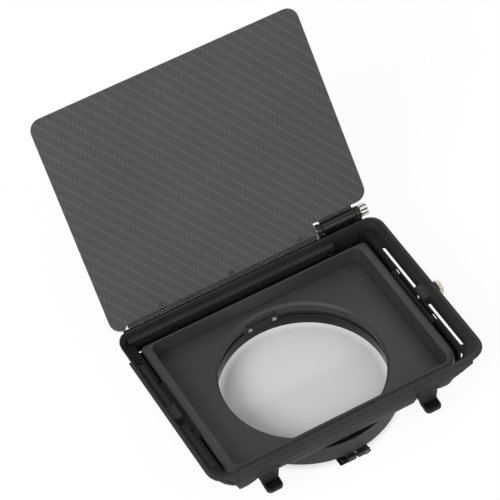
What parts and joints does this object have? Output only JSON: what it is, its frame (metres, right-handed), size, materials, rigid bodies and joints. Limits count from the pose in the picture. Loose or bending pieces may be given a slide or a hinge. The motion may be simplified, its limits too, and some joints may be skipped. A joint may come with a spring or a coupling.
{
  "type": "matte box",
  "caption": "Clip-on matte box with a flared hood, front-loading filter stage, rear lens clamp ring and a hinged top flag.",
  "frame": {"origin": "centre of the clamp ring's back face, on the lens axis", "axes": "+Z forward along the lens axis, out of the hood; +Y towards the hinge of the top flag; +X towards the side with the thumbscrew"},
  "size_m": [0.1812, 0.2129, 0.1442],
  "materials": {
    "moulded_black": "fine-grained moulded black plastic",
    "stage_black": "satin moulded black plastic, slightly lighter than the hood",
    "anodised_black": "black anodised",
    "carbon_sheet": "satin twill-weave carbon-fibre laminate",
    "gloss_black": "polished black",
    "knurled_steel": "bright knurled steel",
    "screw_steel": "zinc-plated steel",
    "black_screw": "black-oxide steel",
    "spring_steel": "oiled spring steel",
    "seal_rubber": "matte black rubber",
    "bush_brass": "turned brass"
  },
  "bodies": {
    "matte_box": {"bore_clip": "anodised_black", "bore_clip_screw_1": "screw_steel", "bore_clip_screw_2": "screw_steel", "bracket_screw_1": "screw_steel", "bracket_screw_2": "screw_steel", "clamp_nut": "black_screw", "clamp_ring": "anodised_black", "collar_ring": "stage_black", "collar_screw_1": "screw_steel", "collar_screw_2": "screw_steel", "collar_screw_3": "screw_steel", "collar_screw_4": "screw_steel", "friction_washer": "anodised_black", "hinge_bracket": "anodised_black", "hood_frame": "moulded_black", "latch_pin_left": "screw_steel", "latch_pin_right": "screw_steel", "latch_spring_left": "spring_steel", "latch_spring_right": "spring_steel", "light_seal": "seal_rubber", "side_rest_left": "moulded_black", "stage_frame": "stage_black", "stage_plate": "stage_black", "stage_screw_1": "screw_steel", "stage_screw_2": "screw_steel", "stage_screw_3": "screw_steel", "stage_screw_4": "screw_steel", "stage_screw_5": "screw_steel", "stage_screw_6": "screw_steel", "thumb_bush": "bush_brass", "top_bar": "moulded_black", "top_bar_screw_1": "black_screw", "top_bar_screw_2": "black_screw"},
    "flag": {"flag_hinge_leaf": "anodised_black", "flag_plate": "carbon_sheet", "flag_screw_1": "black_screw", "flag_screw_2": "black_screw", "flag_screw_3": "black_screw"},
    "hinge_knob": {"hinge_knob": "knurled_steel"},
    "side_clamp": {"side_clamp_right": "moulded_black"},
    "thumbscrew": {"clamp_thumbscrew": "knurled_steel"},
    "latch_left": {"latch_lever_left": "moulded_black", "latch_pad_left": "gloss_black"},
    "latch_right": {"latch_lever_right": "moulded_black", "latch_pad_right": "gloss_black"},
    "clamp_screw": {"clamp_screw": "black_screw"}
  },
  "joints": [
    {"name": "flag_hinge", "type": "hinge", "parent": "matte_box", "child": "flag", "pos_m": [0.0652, 0.0681, 0.0423], "axis": [1, 0, 0], "range_deg": [-25, 127.5]},
    {"name": "hinge_knob_turn", "type": "hinge", "parent": "matte_box", "child": "hinge_knob", "pos_m": [0.0815, 0.0681, 0.0423], "axis": [1, 0, 0], "range_deg": [-90, 360]},
    {"name": "side_clamp_slide", "type": "slide", "parent": "matte_box", "child": "side_clamp", "axis": [1, 0, 0], "range_m": [0, 0.0007]},
    {"name": "thumbscrew_turn", "type": "hinge", "parent": "side_clamp", "child": "thumbscrew", "pos_m": [0.0925, 0, 0.0324], "axis": [1, 0, 0], "range_deg": [0, 505]},
    {"name": "latch_left_swing", "type": "hinge", "parent": "matte_box", "child": "latch_left", "pos_m": [-0.0552, -0.059, 0.0306], "axis": [-1, 0, 0], "range_deg": [0, 60], "stiffness_Nm_per_rad": 0.02, "springref_deg": -22.92},
    {"name": "latch_right_swing", "type": "hinge", "parent": "matte_box", "child": "latch_right", "pos_m": [0.0474, -0.059, 0.0306], "axis": [-1, 0, 0], "range_deg": [0, 60], "stiffness_Nm_per_rad": 0.02, "springref_deg": -22.92},
    {"name": "clamp_screw_turn", "type": "hinge", "parent": "matte_box", "child": "clamp_screw", "pos_m": [-0.0075, -0.0577, 0.0023], "axis": [-1, 0, 0], "range_deg": [0, 1080]}
  ],
  "couplings": [
    {"joint": "thumbscrew_turn", "follows": "side_clamp_slide", "rad_per_m": 12566}
  ]
}
